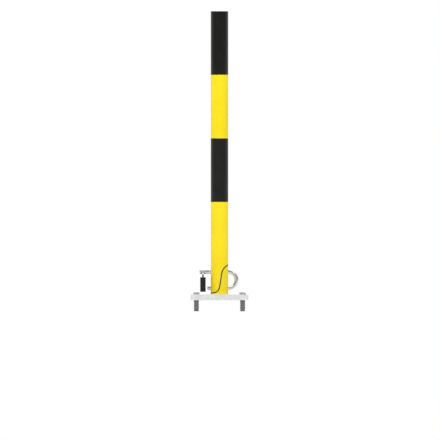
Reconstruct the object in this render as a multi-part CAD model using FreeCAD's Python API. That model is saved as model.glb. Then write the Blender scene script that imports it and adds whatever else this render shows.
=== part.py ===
import FreeCAD
import Part
import math
import os

# Fold-down bollard: a round steel post whose foot is an S-shaped tongue, hinged to the
# matching tongue of a short stub that is welded on a base plate. A U-shaped bar goes
# through both tongues: its upper leg is the hinge pin, its lower leg stands the post up,
# and a padlock hangs in the long end of the upper leg.
# Frame: origin on the ground under the post's axis, +Z up, +X towards the bar's bend,
# -Y towards the front. All sizes in millimetres.

# Post and stub tube
post_height = 1000.0
tube_od = 60.0
tube_wall = 3.0
cap_rim = 3.0
cap_rim_round = 1.5
cap_plug_depth = 18.0
cap_plug_wall = 2.5
cap_clearance = 0.15
band_height = 220.0
film_thickness = 0.25

# Base plate
plate_side = 200.0
plate_thickness = 20.0
plate_corner = 8.0
plate_chamfer = 1.0
weld_leg = 3.5

# Ground anchors
anchor_inset = 20.0
anchor_od = 18.0
plate_hole_play = 0.3
collar_depth = 5.0
neck_step = 0.6
bolt_d = 12.0
head_across_flats = 22.0
head_height = 7.5
head_crown_share = 0.95
anchor_depth = 38.5
sleeve_step = 0.5
sleeve_clearance = 0.3
cone_length = 8.5
cone_taper = 5.0
cone_top_wall = 1.4
cone_step = 0.7
cone_floor = 0.1
groove_depth = 0.6
groove_width = 1.4
groove_pitch = 4.6
slit_width = 1.6
slit_length = 15.0
slits = 3

# Locking bar
bar_d = 14.0
leg_spacing = 56.0
lower_leg_height = 42.0
upper_leg_overhang = 39.0
lower_leg_overhang = 11.5
bend_offset = 0.5
bar_end_chamfer = 1.0
eye_d = 9.0
eye_chamfer = 1.0
eye_to_end = 11.7
bar_fit = 0.1

# S-shaped parting cut between post and stub
cut_gap = 2.5
lower_arc_radius = 24.0
lower_run_in = 6.0
upper_arc_radius = 43.0
stub_rim_height = 6.0
shoulder_rise = 30.0
shoulder_run_out = 19.3
boss_radius = 14.5
relief_clearance = 6.0
relief_corner = 8.0
slot_clearance = 0.6
lip_end = 16.0

# Hinge and lock bushes
bush_od = 20.0
bush_meet_x = 2.5
bush_face_gap = 0.5
lock_bush_inset = 1.5

# Padlock
case_width = 46.0
case_thickness = 19.0
case_height = 50.5
case_bottom = 29.0
case_edge = 3.0
case_rim_round = 1.2
shackle_d = 6.5
shackle_spacing = 30.0
short_leg_depth = 6.5
long_leg_depth = 34.5
shackle_fit = 0.1
plug_d = 10.0
plug_length = 20.0
plug_fit = 0.08
keyway_width = 1.8
keyway_height = 7.0
keyway_depth = 15.0

# Sizes that follow from the ones above
tube_r = tube_od / 2
bore_r = tube_r - tube_wall
bar_r = bar_d / 2
hole_r = bar_r + bar_fit
pivot_height = lower_leg_height + leg_spacing
upper_leg_end = -tube_r - upper_leg_overhang
lower_leg_end = -tube_r - lower_leg_overhang
eye_x = upper_leg_end + eye_to_end
far = 2 * tube_r
anchor_spacing = plate_side - 2 * anchor_inset
anchor_r = anchor_od / 2

X = FreeCAD.Vector(1, 0, 0)
Y = FreeCAD.Vector(0, 1, 0)
Z = FreeCAD.Vector(0, 0, 1)


def vec(x, y, z):
    return FreeCAD.Vector(x, y, z)


def cylinder(radius, start, end):
    """Solid rod from one point to another."""
    return Part.makeCylinder(radius, (end - start).Length, start, end - start)


def ring(outer, inner, start, end):
    """Straight pipe from one point to another."""
    return cylinder(outer, start, end).cut(cylinder(inner, start, end))


def box(x0, x1, y0, y1, z0, z1):
    return Part.makeBox(x1 - x0, y1 - y0, z1 - z0, vec(x0, y0, z0))


def arc(centre, radius, start_deg, end_deg):
    """Arc in an upright plane across the front, its angles counted from +X to +Z."""
    angles = [math.radians(a) for a in (start_deg, (start_deg + end_deg) / 2, end_deg)]
    points = [centre + vec(radius * math.cos(a), 0, radius * math.sin(a)) for a in angles]
    return Part.Arc(*points).toShape()


def line(start, end):
    return Part.LineSegment(start, end).toShape()


def joined(edges):
    """Edges that follow one another, with straight lines across the gaps between them."""
    chain = []
    for edge in edges:
        if chain:
            last = chain[-1].Vertexes[-1].Point
            first = edge.Vertexes[0].Point
            if last.distanceToPoint(first) > 1e-6:
                chain.append(line(last, first))
        chain.append(edge)
    return chain


def s_cut(offset):
    """The S curve from the left wall's foot to the right wall's shoulder.

    Two arcs are joined by their common tangent. A positive offset moves the curve
    towards the stub by that much everywhere.
    """
    low_r = lower_arc_radius + offset
    up_r = upper_arc_radius - offset
    low_c = vec(lower_run_in - tube_r, 0, plate_thickness + stub_rim_height + lower_arc_radius)
    up_c = vec(tube_r + shoulder_run_out, 0, pivot_height + shoulder_rise - upper_arc_radius)
    span = up_c - low_c
    tilt = math.atan2(span.z, span.x) - math.acos((low_r + up_r) / span.Length)
    lean = math.degrees(tilt)
    foot = arc(low_c, low_r, -90, lean)
    shoulder = arc(up_c, up_r, 180 + lean, 90)
    start = foot.Vertexes[0].Point
    end = shoulder.Vertexes[-1].Point
    left = line(vec(-far, 0, start.z), start)
    right = line(end, vec(far, 0, end.z))
    return joined([left, foot, shoulder, right])


def s_region(offset, closing_height):
    """Everything on one side of the S curve, through the whole tube."""
    edges = s_cut(offset)
    start = edges[0].Vertexes[0].Point
    end = edges[-1].Vertexes[-1].Point
    corner_a = vec(end.x, 0, closing_height)
    corner_b = vec(start.x, 0, closing_height)
    edges += [line(end, corner_a), line(corner_a, corner_b), line(corner_b, start)]
    face = Part.Face(Part.Wire(edges))
    face.translate(vec(0, -far, 0))
    return face.extrude(Y * (2 * far))


def tangent_foot_height():
    """Height at which the lower arc of the post's edge runs into the straight stretch."""
    foot = s_cut(-cut_gap / 2)[1]
    return foot.Vertexes[-1].Point.z


def back_split_x():
    """Where the two tongues part on the back: the leftmost point of the upper arc."""
    return tube_r + shoulder_run_out - upper_arc_radius


def fold_relief():
    """Room behind the post's shoulder, so that the post can lie back over the stub."""
    left = back_split_x() - cut_gap / 2
    top = pivot_height + tube_r + relief_clearance
    block = box(left, far, 0, far, 0, top)
    corner = [e for e in block.Edges if abs(e.BoundBox.XMax - left) < 1e-6
              and abs(e.BoundBox.ZMin - top) < 1e-6]
    return block.makeFillet(relief_corner, corner)


def swing_band(inner, outer, x0, x1):
    """What the lower leg sweeps past the folding post, on the back of the tongue."""
    start = vec(x0, 0, pivot_height)
    end = vec(x1, 0, pivot_height)
    band = ring(outer, inner, start, end)
    back_half = box(x0, x1, 0, 2 * outer, pivot_height - 2 * outer, pivot_height + bar_r)
    return band.common(back_half)


def post_tube():
    foot = plate_thickness
    top = post_height - cap_rim
    tube = ring(tube_r, bore_r, vec(0, 0, foot), vec(0, 0, top))
    tube = tube.common(s_region(-cut_gap / 2, post_height + far))
    tube = tube.cut(fold_relief())
    for height in (pivot_height, lower_leg_height):
        tube = tube.cut(cylinder(hole_r, vec(-far, 0, height), vec(0, 0, height)))
    inner = leg_spacing - hole_r - slot_clearance
    outer = leg_spacing + hole_r + slot_clearance
    tube = tube.cut(swing_band(inner, outer, -far, back_split_x()))
    return tube.cut(swing_band(inner, far + leg_spacing, -lip_end, back_split_x()))


def post_cap():
    """Push-in cap: a flush rim on the tube's end and a hollow plug inside it."""
    seat = post_height - cap_rim
    rim = cylinder(tube_r, vec(0, 0, seat), vec(0, 0, post_height))
    top_edge = [e for e in rim.Edges if e.BoundBox.ZMin > post_height - 1e-6]
    rim = rim.makeFillet(cap_rim_round, top_edge)
    plug_r = bore_r - cap_clearance
    plug = ring(plug_r, plug_r - cap_plug_wall, vec(0, 0, seat - cap_plug_depth), vec(0, 0, seat))
    return rim.fuse(plug).removeSplitter()


def film_band(order, top):
    """Self-adhesive black film round the post; bands are counted from the top."""
    high = min(post_height - order * band_height, top)
    low = post_height - (order + 1) * band_height
    return ring(tube_r + film_thickness, tube_r, vec(0, 0, low), vec(0, 0, high))


def anchor_places():
    half = anchor_spacing / 2
    return {"front_left": vec(-half, -half, 0), "front_right": vec(half, -half, 0),
            "back_left": vec(-half, half, 0), "back_right": vec(half, half, 0)}


def base_plate():
    half = plate_side / 2
    plate = box(-half, half, -half, half, 0, plate_thickness)
    upright = [e for e in plate.Edges if e.BoundBox.ZLength > plate_thickness / 2]
    plate = plate.makeFillet(plate_corner, upright)
    top = [e for e in plate.Edges if e.BoundBox.ZMin > plate_thickness - 1e-6]
    plate = plate.makeChamfer(plate_chamfer, top)
    for place in anchor_places().values():
        plate = plate.cut(cylinder(anchor_r + plate_hole_play, place, place + Z * plate_thickness))
    return plate


def stub_back_trim():
    """What the stub gives way on the back to the tongue and shoulder that swing past it."""
    right = back_split_x() + cut_gap / 2
    sweep = math.hypot(tube_r, pivot_height - tangent_foot_height())
    rim = pivot_height - sweep - cut_gap
    left_part = box(-far, right, 0, far, rim, pivot_height + far)
    top_part = box(right, far, 0, far, pivot_height + bar_r, pivot_height + far)
    boss = cylinder(boss_radius, vec(0, 0, pivot_height), vec(far, 0, pivot_height))
    return left_part.fuse(top_part.cut(boss))


def ground_stub():
    tube = ring(tube_r, bore_r, vec(0, 0, plate_thickness), vec(0, 0, pivot_height + far))
    tube = tube.common(s_region(cut_gap / 2, 0))
    tube = tube.cut(stub_back_trim())
    for height in (pivot_height, lower_leg_height):
        tube = tube.cut(cylinder(hole_r, vec(0, 0, height), vec(far, 0, height)))
    return tube


def base_weld():
    """Fillet weld round the stub's foot, with a slightly hollow face."""
    corner = vec(tube_r, 0, plate_thickness)
    out = corner + X * weld_leg
    up = corner + Z * weld_leg
    mid = corner + (X + Z) * (weld_leg * 0.42)
    face = Part.Face(Part.Wire([line(corner, out), Part.Arc(out, mid, up).toShape(), line(up, corner)]))
    return face.revolve(vec(0, 0, 0), Z, 360)


def bush(height, x0, x1):
    """Guide pipe for one leg of the bar, with its outer end fitted to the tube's inside."""
    pipe = ring(bush_od / 2, hole_r, vec(x0, 0, height), vec(x1, 0, height))
    inside = cylinder(bore_r, vec(0, 0, 0), vec(0, 0, post_height))
    return pipe.common(inside)


def locking_bar():
    bend_x = tube_r + bend_offset
    bend_c = vec(bend_x, 0, lower_leg_height + leg_spacing / 2)
    upper = line(vec(upper_leg_end, 0, pivot_height), vec(bend_x, 0, pivot_height))
    bend = arc(bend_c, leg_spacing / 2, 90, -90)
    lower = line(vec(bend_x, 0, lower_leg_height), vec(lower_leg_end, 0, lower_leg_height))
    path = Part.Wire([upper, bend, lower])
    section = Part.Wire(Part.makeCircle(bar_r, vec(upper_leg_end, 0, pivot_height), X))
    bar = path.makePipeShell([section], True, True)
    ends = [e for e in bar.Edges if e.BoundBox.XLength < 1e-3 and e.BoundBox.XMax < -tube_r]
    bar = bar.makeChamfer(bar_end_chamfer, ends)
    return bar.cut(eye_cutter())


def eye_cutter():
    """Drilled eye for the padlock, countersunk on both sides."""
    eye_r = eye_d / 2
    centre = vec(eye_x, 0, pivot_height)
    cutter = cylinder(eye_r, centre - Y * far, centre + Y * far)
    for side in (Y, -Y):
        outer = centre + side * bar_r
        depth = eye_chamfer
        cone = Part.makeCone(eye_r, eye_r + 2 * depth, 2 * depth, outer - side * depth, side)
        cutter = cutter.fuse(cone)
    return cutter


def crown_height():
    """Middle line of the shackle's crown, centred in the eye over the bar's thickness."""
    bow_r = shackle_spacing / 2
    sag = bow_r - math.sqrt(bow_r ** 2 - bar_r ** 2)
    return pivot_height + sag / 2


def shackle():
    """Bent round bar: the long leg is at the back, the short one at the front."""
    bow_r = shackle_spacing / 2
    crown = crown_height()
    spring_line = crown - bow_r
    case_top = case_bottom + case_height
    short = vec(eye_x, -bow_r, case_top - short_leg_depth)
    front = vec(eye_x, -bow_r, spring_line)
    back = vec(eye_x, bow_r, spring_line)
    long_end = vec(eye_x, bow_r, case_top - long_leg_depth)
    top = vec(eye_x, 0, crown)
    path = Part.Wire([line(short, front), Part.Arc(front, top, back).toShape(), line(back, long_end)])
    section = Part.Wire(Part.makeCircle(shackle_d / 2, short, Z))
    return path.makePipeShell([section], True, True)


def padlock_case():
    half_t = case_thickness / 2
    half_w = case_width / 2
    top = case_bottom + case_height
    case = box(eye_x - half_t, eye_x + half_t, -half_w, half_w, case_bottom, top)
    upright = [e for e in case.Edges if e.BoundBox.ZLength > case_height / 2]
    case = case.makeFillet(case_edge, upright)
    rims = [e for e in case.Edges if e.BoundBox.ZLength < 1e-6]
    case = case.makeFillet(case_rim_round, rims)
    leg_r = shackle_d / 2 + shackle_fit
    bow_r = shackle_spacing / 2
    for side, depth in ((-1, short_leg_depth), (1, long_leg_depth)):
        mouth = vec(eye_x, side * bow_r, top)
        case = case.cut(cylinder(leg_r, mouth - Z * (depth + shackle_fit), mouth))
    foot = vec(eye_x, 0, case_bottom)
    return case.cut(cylinder(plug_d / 2 + plug_fit, foot, foot + Z * (plug_length + plug_fit)))


def key_plug():
    """Round lock cylinder in the padlock's foot, with a keyway."""
    foot = vec(eye_x, 0, case_bottom)
    plug = cylinder(plug_d / 2, foot, foot + Z * plug_length)
    x0 = eye_x - keyway_width / 2
    y0 = -keyway_height / 2
    slot = box(x0, x0 + keyway_width, y0, y0 + keyway_height, case_bottom, case_bottom + keyway_depth)
    return plug.cut(slot)


def anchor_bolt(place):
    """Hexagon head bolt: a neck in the plate's hole, a collar under it and a shank into the cone."""
    seat = place + Z * plate_thickness
    corner_r = head_across_flats / math.sqrt(3)
    corners = [seat + vec(corner_r * math.cos(a), corner_r * math.sin(a), 0)
               for a in (math.radians(60 * i + 30) for i in range(7))]
    head = Part.Face(Part.makePolygon(corners)).extrude(Z * head_height)
    crown_r = head_across_flats / 2 * head_crown_share
    flare = head_height * math.sqrt(3)
    head = head.common(Part.makeCone(crown_r + flare, crown_r, head_height, seat, Z))
    neck = cylinder(anchor_r - neck_step, place, seat)
    collar = cylinder(anchor_r, place - Z * collar_depth, place)
    shank = cylinder(bolt_d / 2, place - Z * (anchor_depth - cone_floor), place)
    return head.fuse(neck).fuse(collar).fuse(shank).removeSplitter()


def anchor_sleeve(place):
    """Expansion sleeve: ringed outside, and slit where the cone spreads it."""
    outer = anchor_r - sleeve_step
    top = place - Z * collar_depth
    low = place - Z * (anchor_depth - cone_length)
    length = (top - low).Length
    sleeve = ring(outer, bolt_d / 2 + sleeve_clearance, low, top)
    count = int((length - groove_pitch / 2) / groove_pitch)
    for i in range(count):
        at = top - Z * (groove_pitch * (i + 1))
        sleeve = sleeve.cut(ring(outer + 1, outer - groove_depth, at, at + Z * groove_width))
    for i in range(slits):
        slit = Part.makeBox(outer + 1, slit_width, slit_length, low - Y * (slit_width / 2))
        slit.rotate(low, Z, 360 / slits * i + 90)
        sleeve = sleeve.cut(slit)
    return sleeve


def anchor_cone(place):
    """Threaded cone nut that the bolt draws up into the sleeve."""
    low = place - Z * anchor_depth
    outer = anchor_r - cone_step
    barrel = cylinder(outer, low, low + Z * (cone_length - cone_taper))
    top_r = bolt_d / 2 + cone_top_wall
    cone = Part.makeCone(outer, top_r, cone_taper, low + Z * (cone_length - cone_taper), Z)
    nut = barrel.fuse(cone)
    return nut.cut(cylinder(bolt_d / 2, low + Z * cone_floor, low + Z * cone_length))


def pieces():
    half_gap = bush_face_gap / 2
    tube_top = post_height - cap_rim
    made = {
        "base_plate": base_plate(),
        "ground_stub": ground_stub(),
        "base_weld": base_weld(),
        "stub_hinge_bush": bush(pivot_height, bush_meet_x + half_gap, tube_r),
        "stub_lock_bush": bush(lower_leg_height, bush_meet_x + lock_bush_inset, tube_r),
        "post_tube": post_tube(),
        "post_hinge_bush": bush(pivot_height, -tube_r, bush_meet_x - half_gap),
        "post_cap": post_cap(),
        "top_black_band": film_band(0, tube_top),
        "middle_black_band": film_band(2, tube_top),
        "locking_bar": locking_bar(),
        "padlock_shackle": shackle(),
        "padlock_case": padlock_case(),
        "padlock_key_plug": key_plug(),
    }
    for corner, place in anchor_places().items():
        made["anchor_bolt_" + corner] = anchor_bolt(place)
        made["anchor_sleeve_" + corner] = anchor_sleeve(place)
        made["anchor_cone_" + corner] = anchor_cone(place)
    return made


os.makedirs("parts", exist_ok=True)
for name, shape in pieces().items():
    shape.exportStep("parts/" + name + ".step")
    print(name, len(shape.Solids), shape.isValid(), round(shape.Volume, 1))
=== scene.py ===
import math

import bmesh
import bpy
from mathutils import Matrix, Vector


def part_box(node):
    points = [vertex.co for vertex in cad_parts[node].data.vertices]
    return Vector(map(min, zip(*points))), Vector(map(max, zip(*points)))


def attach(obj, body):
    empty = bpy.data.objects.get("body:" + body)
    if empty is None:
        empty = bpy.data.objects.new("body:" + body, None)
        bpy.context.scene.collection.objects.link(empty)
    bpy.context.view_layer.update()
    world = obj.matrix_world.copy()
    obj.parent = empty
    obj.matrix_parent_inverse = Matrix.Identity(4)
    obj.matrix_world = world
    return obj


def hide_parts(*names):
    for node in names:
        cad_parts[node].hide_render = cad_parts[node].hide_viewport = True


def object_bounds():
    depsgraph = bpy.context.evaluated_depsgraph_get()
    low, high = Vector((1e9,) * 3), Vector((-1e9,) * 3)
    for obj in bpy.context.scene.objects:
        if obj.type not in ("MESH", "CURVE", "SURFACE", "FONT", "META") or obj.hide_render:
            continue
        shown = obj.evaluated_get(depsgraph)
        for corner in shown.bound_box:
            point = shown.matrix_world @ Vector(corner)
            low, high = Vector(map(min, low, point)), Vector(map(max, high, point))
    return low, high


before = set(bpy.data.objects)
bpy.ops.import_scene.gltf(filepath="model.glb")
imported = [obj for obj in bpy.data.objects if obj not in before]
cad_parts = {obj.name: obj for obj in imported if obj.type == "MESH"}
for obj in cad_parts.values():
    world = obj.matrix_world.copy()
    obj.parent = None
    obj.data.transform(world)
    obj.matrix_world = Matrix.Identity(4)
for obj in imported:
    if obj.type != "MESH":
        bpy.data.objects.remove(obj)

cad_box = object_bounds()

# Drawing's view: a straight-on front elevation with no perspective. Its frame is 440 pixels
# square at 3.46 mm a pixel, the post's axis is at pixel 219.5 and the ground at pixel 300.2.
mm = 0.001
image_pixels = 440
pixel_size = 3.46 * mm
axis_pixel = 219.5
ground_pixel = 300.2
camera_distance = 10.0


def put_in_scene(name, data):
    """A new object with the given data, linked into the scene."""
    item = bpy.data.objects.new(name, data)
    bpy.context.scene.collection.objects.link(item)
    return item


camera_data = bpy.data.cameras.new("front_elevation")
camera_data.type = "ORTHO"
camera_data.ortho_scale = image_pixels * pixel_size
camera = put_in_scene("front_elevation", camera_data)
camera.location = ((image_pixels / 2 - axis_pixel) * pixel_size, -camera_distance,
                   (ground_pixel - image_pixels / 2) * pixel_size)
camera.rotation_euler = (math.radians(90), 0, 0)
bpy.context.scene.camera = camera
bpy.context.scene.view_settings.view_transform = "Standard"


# Studio floor: a pale matt sheet that the anchors' tips just reach. It takes the shadow of the
# post, also of the folded one, runs out into the white background further off, and is clear
# when it's looked at from below.
floor_side = 16.0
fade_start = 0.8
fade_end = 1.6
floor_gap = 0.5 * mm
floor_colour = "#F4F4F2"
floor_roughness = 0.9
paper_grain = 1.5 * mm
paper_depth = 0.1 * mm
paper_relief = 0.05
relief_detail = 2.0


def linear(hex_colour):
    """An sRGB hex colour as the linear RGBA that a shader takes."""
    parts = [int(hex_colour[i:i + 2], 16) / 255 for i in (1, 3, 5)]
    return [p / 12.92 if p <= 0.04045 else ((p + 0.055) / 1.055) ** 2.4 for p in parts] + [1.0]


def new_material(name):
    """A node material, and the shader that carries its finish."""
    material = bpy.data.materials.new(name)
    material.use_nodes = True
    return material, material.node_tree.nodes["Principled BSDF"]


def connect(material, source, target):
    material.node_tree.links.new(source, target)


def add(material, kind, settings=(), links=()):
    """Adds a shader node to a material, with its settings and its links from other nodes."""
    node = material.node_tree.nodes.new(kind)
    for name, value in dict(settings).items():
        if name in node.inputs:
            node.inputs[name].default_value = value
        else:
            setattr(node, name, value)
    for name, source in dict(links).items():
        connect(material, source, node.inputs[name])
    return node


def product(material, first, second):
    node = add(material, "ShaderNodeMath", {"operation": "MULTIPLY"})
    connect(material, first, node.inputs[0])
    connect(material, second, node.inputs[1])
    return node.outputs[0]


def mix(material, share, first, second):
    """A surface that goes over from the first shader to the second one with the share."""
    node = add(material, "ShaderNodeMixShader", (), {"Fac": share})
    connect(material, first, node.inputs[1])
    connect(material, second, node.inputs[2])
    return node.outputs[0]


def object_place(material):
    return add(material, "ShaderNodeTexCoord").outputs["Object"]


def noise(material, scale, detail, place):
    return add(material, "ShaderNodeTexNoise", {"Scale": scale, "Detail": detail},
               {"Vector": place})


def raise_surface(material, shader, height, depth, strength):
    """Relief of a real depth that follows a pattern."""
    bump = add(material, "ShaderNodeBump", {"Strength": strength, "Distance": depth},
               {"Height": height})
    connect(material, bump.outputs["Normal"], shader.inputs["Normal"])


def fine_relief(material, shader, place, size, depth, strength):
    """Relief of a real width and depth all over the surface."""
    pattern = noise(material, 1 / size, relief_detail, place)
    raise_surface(material, shader, pattern.outputs["Fac"], depth, strength)


paper, shader = new_material("matt_studio_paper")
shader.inputs["Base Color"].default_value = linear(floor_colour)
shader.inputs["Roughness"].default_value = floor_roughness
place = object_place(paper)
fine_relief(paper, shader, place, paper_grain, paper_depth, paper_relief)
reach = add(paper, "ShaderNodeVectorMath", {"operation": "LENGTH"})
connect(paper, place, reach.inputs[0])
far_off = add(paper, "ShaderNodeMapRange", {"interpolation_type": "SMOOTHSTEP",
              "From Min": fade_start, "From Max": fade_end}, {"Value": reach.outputs["Value"]})
looked_at = add(paper, "ShaderNodeLightPath").outputs["Is Camera Ray"]
below = add(paper, "ShaderNodeNewGeometry").outputs["Backfacing"]
background = add(paper, "ShaderNodeEmission", {"Strength": 1.0})
clear = add(paper, "ShaderNodeBsdfTransparent")
faded = mix(paper, product(paper, far_off.outputs["Result"], looked_at),
            shader.outputs[0], background.outputs[0])
surface = mix(paper, product(paper, below, looked_at), faded, clear.outputs[0])
connect(paper, surface, paper.node_tree.nodes["Material Output"].inputs["Surface"])

floor_height = cad_box[0][2] - floor_gap
half_floor = floor_side / 2
corners = ((-half_floor, -half_floor), (half_floor, -half_floor),
           (half_floor, half_floor), (-half_floor, half_floor))
floor_mesh = bpy.data.meshes.new("floor")
floor_mesh.from_pydata([(x, y, floor_height) for x, y in corners], [], [(0, 1, 2, 3)])
floor_mesh.materials.append(paper)
floor = put_in_scene("floor", floor_mesh)


# Studio light: even light from all round and a broad soft lamp high at the front left, with a
# weaker one on the right, so that a colour renders about as it is written. Glossy surfaces
# mirror a half-lit backdrop behind the post and the dimmer room in front of it.
room_light = 0.59
room_mirrored = 0.12
backdrop_mirrored = 0.55
room_end_y = -0.35
backdrop_start_y = 0.45
room_colour = "#FFFFFF"
lamps = {
    "key_lamp": {"at": (-1.5, -2.1, 3.5), "side": 1.8, "watts": 76.0},
    "fill_lamp": {"at": (2.0, -1.6, 2.7), "side": 1.6, "watts": 30.0},
    "back_lamp": {"at": (0.6, 2.6, 2.0), "side": 1.6, "watts": 24.0},
}
lamp_target = Vector((0, 0, 0.45))

world = bpy.data.worlds.new("studio")
bpy.context.scene.world = world
world.use_nodes = True
sky = world.node_tree.nodes["Background"]
path = add(world, "ShaderNodeLightPath")
seen = add(world, "ShaderNodeMath", {"operation": "MAXIMUM"})
connect(world, path.outputs["Is Camera Ray"], seen.inputs[0])
connect(world, path.outputs["Is Transmission Ray"], seen.inputs[1])
direction = add(world, "ShaderNodeTexCoord")
axes = add(world, "ShaderNodeSeparateXYZ", (), {"Vector": direction.outputs["Generated"]})
mirrored = add(world, "ShaderNodeMapRange", {"From Min": room_end_y,
               "From Max": backdrop_start_y, "To Min": room_mirrored,
               "To Max": backdrop_mirrored}, {"Value": axes.outputs["Y"]})
level = add(world, "ShaderNodeMapRange", {"To Min": room_light},
            {"Value": path.outputs["Is Glossy Ray"], "To Max": mirrored.outputs["Result"]})
shown = add(world, "ShaderNodeMapRange", {"To Max": 1.0},
            {"Value": seen.outputs[0], "To Min": level.outputs["Result"]})
sky.inputs["Color"].default_value = linear(room_colour)
connect(world, shown.outputs["Result"], sky.inputs["Strength"])

for name, lamp in lamps.items():
    lamp_data = bpy.data.lights.new(name, "AREA")
    lamp_data.shape = "SQUARE"
    lamp_data.size = lamp["side"]
    lamp_data.energy = lamp["watts"]
    light = put_in_scene(name, lamp_data)
    light.location = lamp["at"]
    light.rotation_euler = (lamp_target - light.location).to_track_quat("-Z", "Y").to_euler()


# Post and ground stub: cold-drawn steel tube, cut in two along the S line, zinc-primed and
# powder coated in traffic yellow. The coat flows out to a satin skin with a fine orange peel.
coat_yellow = "#FBE204"
coat_yellow_deep = "#F6DA03"
coat_patch = 90 * mm
coat_gloss = (0.26, 0.34)
coat_ior = 1.5
orange_peel = 1.6 * mm
orange_peel_depth = 0.05 * mm
orange_peel_relief = 0.4
patch_detail = 8.0
noise_low = 0.3
noise_high = 0.7


def dress(material, *node_names):
    """Puts a material in every slot of the named CAD nodes."""
    for node_name in node_names:
        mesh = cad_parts[node_name].data
        if not mesh.materials:
            mesh.materials.append(material)
        for i in range(len(mesh.materials)):
            mesh.materials[i] = material


def two_tone(material, shader, pattern, dark, light, ends=(noise_low, noise_high),
             easing="LINEAR"):
    """Base colour that follows a pattern between two near colours."""
    ramp = add(material, "ShaderNodeValToRGB", (), {"Fac": pattern})
    ramp.color_ramp.interpolation = easing
    for element, end, colour in zip(ramp.color_ramp.elements, ends, (dark, light)):
        element.position = end
        element.color = linear(colour)
    connect(material, ramp.outputs["Color"], shader.inputs["Base Color"])


def worn_gloss(material, shader, pattern, gloss):
    """Roughness that follows a pattern between a smooth and a rough value."""
    smooth, rough = gloss
    spread = add(material, "ShaderNodeMapRange", {"interpolation_type": "SMOOTHSTEP",
                 "From Min": noise_low, "From Max": noise_high, "To Min": smooth,
                 "To Max": rough}, {"Value": pattern})
    connect(material, spread.outputs["Result"], shader.inputs["Roughness"])


def coating(name, light, dark, patch, gloss, ior, grain, depth, strength):
    """A paint, film, rubber or plastic, with near colours in clouds and a fine relief."""
    material, shader = new_material(name)
    place = object_place(material)
    cloud = noise(material, 1 / patch, patch_detail, place).outputs["Fac"]
    two_tone(material, shader, cloud, dark, light, easing="EASE")
    worn_gloss(material, shader, cloud, gloss)
    fine_relief(material, shader, place, grain, depth, strength)
    shader.inputs["IOR"].default_value = ior
    return material


yellow_coat = coating("traffic_yellow_powder_coat_satin", coat_yellow, coat_yellow_deep,
                      coat_patch, coat_gloss, coat_ior, orange_peel, orange_peel_depth,
                      orange_peel_relief)
dress(yellow_coat, "post_tube", "ground_stub")


# Weld at the stub's foot: a fillet run laid by hand round the tube, so it shows the overlapping
# ripples of each step, under the same yellow coat.
weld_ripples = 46
weld_ripple_height = 0.28 * mm
weld_ripple_lag = 1.4
weld_sides = 368
weld_section = 7
weld_sink = 0.05 * mm
weld_face_reach = 0.72
weld_toe_reach = 0.24
merge_distance = 0.001 * mm


def ring_piece(name, rings, material, joined=False, smooth_sides=0):
    """A closed skin from ring to ring of points, either joined up or capped at both ends."""
    mesh = bmesh.new()
    rows = [[mesh.verts.new(point) for point in ring] for ring in rings]
    next_rows = rows[1:] + rows[:1] if joined else rows[1:]
    for here, following in zip(rows, next_rows):
        for j in range(len(here)):
            k = (j + 1) % len(here)
            face = mesh.faces.new((here[j], following[j], following[k], here[k]))
            face.smooth = j < smooth_sides
    if not joined:
        mesh.faces.new(rows[0])
        mesh.faces.new(rows[-1][::-1])
    bmesh.ops.remove_doubles(mesh, verts=mesh.verts, dist=merge_distance)
    bmesh.ops.recalc_face_normals(mesh, faces=mesh.faces)
    data = bpy.data.meshes.new(name)
    mesh.to_mesh(data)
    mesh.free()
    data.materials.append(material)
    return put_in_scene(name, data)


def weld_rings():
    low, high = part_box("base_weld")
    tube_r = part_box("ground_stub")[1].x
    leg = high.x - tube_r
    corner = tube_r - weld_sink
    foot = low.z - weld_sink
    rings = []
    for i in range(weld_sides):
        turn = 2 * math.pi * i / weld_sides
        outline = []
        for j in range(weld_section):
            share = j / (weld_section - 1)
            across = math.pi / 2 * share
            middle = math.sin(math.pi * share)
            step = math.cos(turn * weld_ripples + weld_ripple_lag * middle)
            reach = leg * (weld_face_reach + weld_toe_reach * abs(math.cos(2 * across)))
            reach += weld_ripple_height * step * middle
            outline.append((corner + reach * math.cos(across), foot + reach * math.sin(across)))
        outline.append((corner, foot))
        rings.append([(out * math.cos(turn), out * math.sin(turn), up) for out, up in outline])
    return rings


bead = ring_piece("weld_bead", weld_rings(), yellow_coat, joined=True,
                  smooth_sides=weld_section - 1)
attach(bead, "base")
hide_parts("base_weld")


# Edging on the stub's side of the S cut: a black rubber profile pressed on the cut edge at the
# front, which paints in the shade of the cut. It fills most of the gap and its lip lies on the
# tube beside it, so that this painted shade reads as a dark line. It tapers inwards, so that
# the tongue of the folding post clears it.
# Painted shade: the edging's black and its darker clouds stand in for the shade inside the cut
# gap.
cut_shade_black = "#161614"
cut_shade_black_deep = "#10100E"
rubber_patch = 90 * mm
rubber_gloss = (0.6, 0.7)
rubber_ior = 1.52
rubber_grain = 0.8 * mm
rubber_depth = 0.04 * mm
rubber_relief = 0.4
cut_gap = 2.5 * mm
edging_play = 0.15 * mm
edging_inner_play = 1.8 * mm
lip_width = 1.3 * mm
lip_height = 0.4 * mm
lip_sink = 0.02 * mm
wall = 3 * mm
edging_recess = 0.2 * mm
edging_steps = 160
lower_run = 8 * mm
lower_arc = {"x": -24 * mm, "z": 50 * mm, "radius": 24 * mm}
upper_arc = {"x": 49.3 * mm, "z": 85 * mm, "radius": 43 * mm}

cut_shade_rubber = coating("black_rubber_edging_painted_cut_shade", cut_shade_black, cut_shade_black_deep, rubber_patch,
                 rubber_gloss, rubber_ior, rubber_grain, rubber_depth, rubber_relief)


def arc_point(arc, radius, turn):
    return arc["x"] + radius * math.cos(turn), arc["z"] + radius * math.sin(turn)


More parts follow.
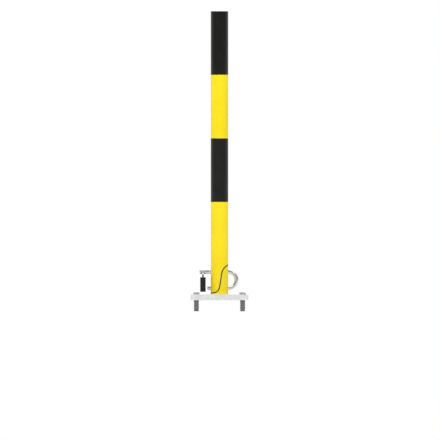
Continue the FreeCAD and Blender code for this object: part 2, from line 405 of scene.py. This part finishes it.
def s_line(offset):
    """Points along the S cut from left to right, moved towards the stub by an offset."""
    low_r = lower_arc["radius"] + offset
    up_r = upper_arc["radius"] - offset
    across = upper_arc["x"] - lower_arc["x"]
    rise = upper_arc["z"] - lower_arc["z"]
    lean = math.atan2(rise, across) - math.acos((low_r + up_r) / math.hypot(across, rise))
    points = []
    for i in range(edging_steps):
        run_left = lower_run * (1 - i / edging_steps)
        points.append((lower_arc["x"] - run_left, lower_arc["z"] - low_r))
    for i in range(edging_steps + 1):
        turn = -math.pi / 2 + (lean + math.pi / 2) * i / edging_steps
        points.append(arc_point(lower_arc, low_r, turn))
    for i in range(edging_steps + 1):
        turn = math.pi + lean - (math.pi / 2 + lean) * i / edging_steps
        points.append(arc_point(upper_arc, up_r, turn))
    return points


def within_wall(points, limit):
    """The stretch of a line between the tube's two sides, in equal steps."""
    ends = []
    for (x0, z0), (x1, z1) in zip(points, points[1:]):
        for side in (-limit, limit):
            if min(x0, x1) <= side < max(x0, x1):
                ends.append((side, z0 + (z1 - z0) * (side - x0) / (x1 - x0)))
    kept = [ends[0]] + [p for p in points if abs(p[0]) < limit] + [ends[-1]]
    run = [0]
    for (x0, z0), (x1, z1) in zip(kept, kept[1:]):
        run.append(run[-1] + math.hypot(x1 - x0, z1 - z0))
    stepped = []
    for i in range(edging_steps + 1):
        target = run[-1] * i / edging_steps
        k = max(j for j in range(len(kept) - 1) if run[j] <= target)
        share = (target - run[k]) / (run[k + 1] - run[k])
        (x0, z0), (x1, z1) = kept[k], kept[k + 1]
        stepped.append((x0 + (x1 - x0) * share, z0 + (z1 - z0) * share))
    return stepped


def edging_rings():
    tube_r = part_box("ground_stub")[1].x
    skin_r = tube_r - lip_sink
    lip_r = tube_r + lip_height
    inner_r = tube_r - wall + edging_recess
    offsets = (cut_gap / 2 + lip_width, cut_gap / 2, -cut_gap / 2 + edging_play,
               -cut_gap / 2 + edging_inner_play)
    lines = [within_wall(s_line(offset), skin_r) for offset in offsets]
    rings = []
    for tip, near, across, inner in zip(*lines):
        profile = ((tip, skin_r), (tip, lip_r), (across, lip_r), (inner, inner_r),
                   (near, inner_r), (near, skin_r))
        rings.append([(x, -math.sqrt(max(radius ** 2 - x ** 2, 0)), z)
                      for (x, z), radius in profile])
    return rings


# Painted shade: a black piece set in the cut gap, where there would only be shade.
shade_edging = ring_piece("cut_edging_painted_shade", edging_rings(), cut_shade_rubber)
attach(shade_edging, "base")


# Black bands: soft vinyl film wound once round the coated tube and lapped at the back. It is
# smoother than the coat under it, with a faint waviness from the squeegee.
film_black = "#181814"
film_black_deep = "#131310"
film_patch = 90 * mm
film_gloss = (0.2, 0.28)
film_ior = 1.5
squeegee_wave = 14 * mm
squeegee_depth = 0.05 * mm
squeegee_relief = 0.5
lap_width = 10 * mm
lap_thickness = 0.22 * mm
lap_steps = 10

black_film = coating("black_vinyl_film_satin", film_black, film_black_deep, film_patch,
                     film_gloss, film_ior, squeegee_wave, squeegee_depth, squeegee_relief)
dress(black_film, "top_black_band", "middle_black_band")


def lap_rings(band):
    """The end of a film wrap, which lies over its own start at the back of the post."""
    low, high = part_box(band)
    inner = high.x
    outer = inner + lap_thickness
    spread = lap_width / inner
    rings = []
    for i in range(lap_steps + 1):
        angle = math.pi / 2 - spread / 2 + spread * i / lap_steps
        profile = ((inner, low.z), (outer, low.z), (outer, high.z), (inner, high.z))
        rings.append([(radius * math.cos(angle), radius * math.sin(angle), height)
                      for radius, height in profile])
    return rings


for band in ("top_black_band", "middle_black_band"):
    piece = ring_piece(band + "_lap", lap_rings(band), black_film)
    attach(piece, "post")


# Post cap: a push-in plug moulded in black polyethylene, with the fine matt grain of its mould
# on the flat top.
cap_black = "#1E1E1A"
cap_black_deep = "#191916"
cap_patch = 90 * mm
cap_gloss = (0.46, 0.56)
cap_ior = 1.51
mould_grain = 0.9 * mm
mould_grain_depth = 0.06 * mm
mould_grain_relief = 0.6

cap_plastic = coating("black_polyethylene_moulded_matt", cap_black, cap_black_deep, cap_patch,
                      cap_gloss, cap_ior, mould_grain, mould_grain_depth, mould_grain_relief)
dress(cap_plastic, "post_cap")


# Base plate: flame-cut steel plate, hot-dip galvanised. The zinc freezes into pale crystals a
# few millimetres across, each with its own tone and gloss.
zinc_pale = "#F8F9F9"
zinc_cool = "#E9ECED"
zinc_smooth = 0.36
zinc_rough = 0.54
zinc_metallic = 0.5
spangle_size = 9 * mm
spangle_wobble = 2.2 * mm
spangle_wobble_size = 4 * mm
dip_ripple = 5 * mm
dip_ripple_depth = 0.08 * mm
dip_ripple_relief = 0.35

galvanised, shader = new_material("hot_dip_galvanised_steel_spangled")
place = object_place(galvanised)
wobble = noise(galvanised, 1 / spangle_wobble_size, relief_detail, place)
shifted = add(galvanised, "ShaderNodeVectorMath", {"operation": "MULTIPLY_ADD"})
connect(galvanised, wobble.outputs["Color"], shifted.inputs[0])
shifted.inputs[1].default_value = (spangle_wobble, spangle_wobble, spangle_wobble)
connect(galvanised, place, shifted.inputs[2])
spangle = add(galvanised, "ShaderNodeTexVoronoi", {"Scale": 1 / spangle_size},
              {"Vector": shifted.outputs["Vector"]})
tone = add(galvanised, "ShaderNodeSeparateColor", (), {"Color": spangle.outputs["Color"]})
two_tone(galvanised, shader, tone.outputs["Red"], zinc_cool, zinc_pale, ends=(0.0, 1.0))
gloss = add(galvanised, "ShaderNodeMapRange", {"To Min": zinc_smooth, "To Max": zinc_rough},
            {"Value": tone.outputs["Green"]})
connect(galvanised, gloss.outputs["Result"], shader.inputs["Roughness"])
fine_relief(galvanised, shader, place, dip_ripple, dip_ripple_depth, dip_ripple_relief)
shader.inputs["Metallic"].default_value = zinc_metallic
dress(galvanised, "base_plate")


# Locking bar and its guide bushes: drawn steel bar, bent cold and zinc plated bright. Fine draw
# lines run along the metal, drawn here as coarse as they need to be to show.
plate_bright = "#E8EAEC"
plate_shade = "#CED2D4"
plate_gloss = (0.24, 0.36)
draw_line = 0.5 * mm
draw_line_length = 60 * mm
draw_line_depth = 0.03 * mm
draw_line_relief = 0.3
draw_line_detail = 3.0


def drawn_metal(name, light, dark, gloss, stretch):
    """Metal with fine lines along one direction, given as the pattern's sizes on X, Y and Z."""
    material, shader = new_material(name)
    scaled = add(material, "ShaderNodeMapping", (), {"Vector": object_place(material)})
    scaled.inputs["Scale"].default_value = [1 / s for s in stretch]
    streak = noise(material, 1.0, draw_line_detail, scaled.outputs["Vector"]).outputs["Fac"]
    two_tone(material, shader, streak, dark, light)
    worn_gloss(material, shader, streak, gloss)
    raise_surface(material, shader, streak, draw_line_depth, draw_line_relief)
    shader.inputs["Metallic"].default_value = 1.0
    return material


bar_zinc = drawn_metal("bright_zinc_plated_drawn_bar", plate_bright, plate_shade, plate_gloss,
                       (draw_line_length, draw_line, draw_line))
dress(bar_zinc, "locking_bar", "stub_hinge_bush", "stub_lock_bush", "post_hinge_bush")


# Padlock shackle: hardened round steel, bent, ground and chrome plated, so it mirrors the room.
# What is left of the grinding shows as faint lines along its legs.
chrome_light = "#D4D7D9"
chrome_shade = "#C4C8CB"
chrome_gloss = (0.08, 0.16)
polish_line = 0.4 * mm
polish_line_length = 60 * mm

shackle_chrome = drawn_metal("chromed_hardened_steel_polished", chrome_light, chrome_shade,
                             chrome_gloss, (polish_line, polish_line, polish_line_length))
dress(shackle_chrome, "padlock_shackle")


# Padlock case: a cast brass block under a thick black stove enamel, slightly lumpy like any
# dipped coat, with softened corners.
case_black = "#141412"
case_black_deep = "#0F0F0E"
case_patch = 20 * mm
case_gloss = (0.26, 0.36)
case_ior = 1.52
enamel_ripple = 4 * mm
enamel_depth = 0.06 * mm
enamel_relief = 0.4

case_enamel = coating("black_stove_enamel_semi_gloss", case_black, case_black_deep, case_patch,
                      case_gloss, case_ior, enamel_ripple, enamel_depth, enamel_relief)
dress(case_enamel, "padlock_case")


# Key plug: turned brass, left bare. The tool's marks show on its face as a fine grain, in
# lines along the plug on its side.
brass_light = "#D8B566"
brass_shade = "#B8924A"
brass_gloss = (0.2, 0.32)
turning_mark = 0.35 * mm
turning_mark_length = 60 * mm

plug_brass = drawn_metal("turned_brass_bare", brass_light, brass_shade, brass_gloss,
                         (turning_mark, turning_mark, turning_mark_length))
dress(plug_brass, "padlock_key_plug")


# Anchor bolts, sleeves and cones: a cold-headed hexagon bolt draws a turned cone up into a
# rolled sleeve. Heads above the plate are pale zinc, and all that is buried has a dull dark
# finish.
head_light = "#E6E8E9"
head_shade = "#CDD0D2"
head_gloss = (0.3, 0.42)
buried_light = "#ACAEAF"
buried_shade = "#727475"
buried_gloss = (0.4, 0.55)
forge_mark = 1.2 * mm
roll_mark = 2.0 * mm
roll_mark_height = 0.5 * mm
ground_blend = 0.3 * mm

head_zinc = drawn_metal("zinc_plated_cold_headed_bolt", head_light, head_shade, head_gloss,
                        (forge_mark, forge_mark, forge_mark))
shader = head_zinc.node_tree.nodes["Principled BSDF"]
pale = shader.inputs["Base Color"].links[0].from_socket
height = add(head_zinc, "ShaderNodeSeparateXYZ", (), {"Vector": object_place(head_zinc)})
buried = add(head_zinc, "ShaderNodeMapRange", {"From Min": ground_blend,
             "From Max": -ground_blend}, {"Value": height.outputs["Z"]})
mixed = add(head_zinc, "ShaderNodeMix", {"data_type": "RGBA"})
connect(head_zinc, buried.outputs["Result"], mixed.inputs["Factor"])
connect(head_zinc, pale, mixed.inputs["A"])
mixed.inputs["B"].default_value = linear(buried_shade)
connect(head_zinc, mixed.outputs["Result"], shader.inputs["Base Color"])

sleeve_zinc = drawn_metal("dull_dark_zinc_rolled_sleeve", buried_light, buried_shade,
                          buried_gloss, (roll_mark, roll_mark, roll_mark_height))
for corner in ("front_left", "front_right", "back_left", "back_right"):
    dress(head_zinc, "anchor_bolt_" + corner)
    dress(sleeve_zinc, "anchor_sleeve_" + corner, "anchor_cone_" + corner)
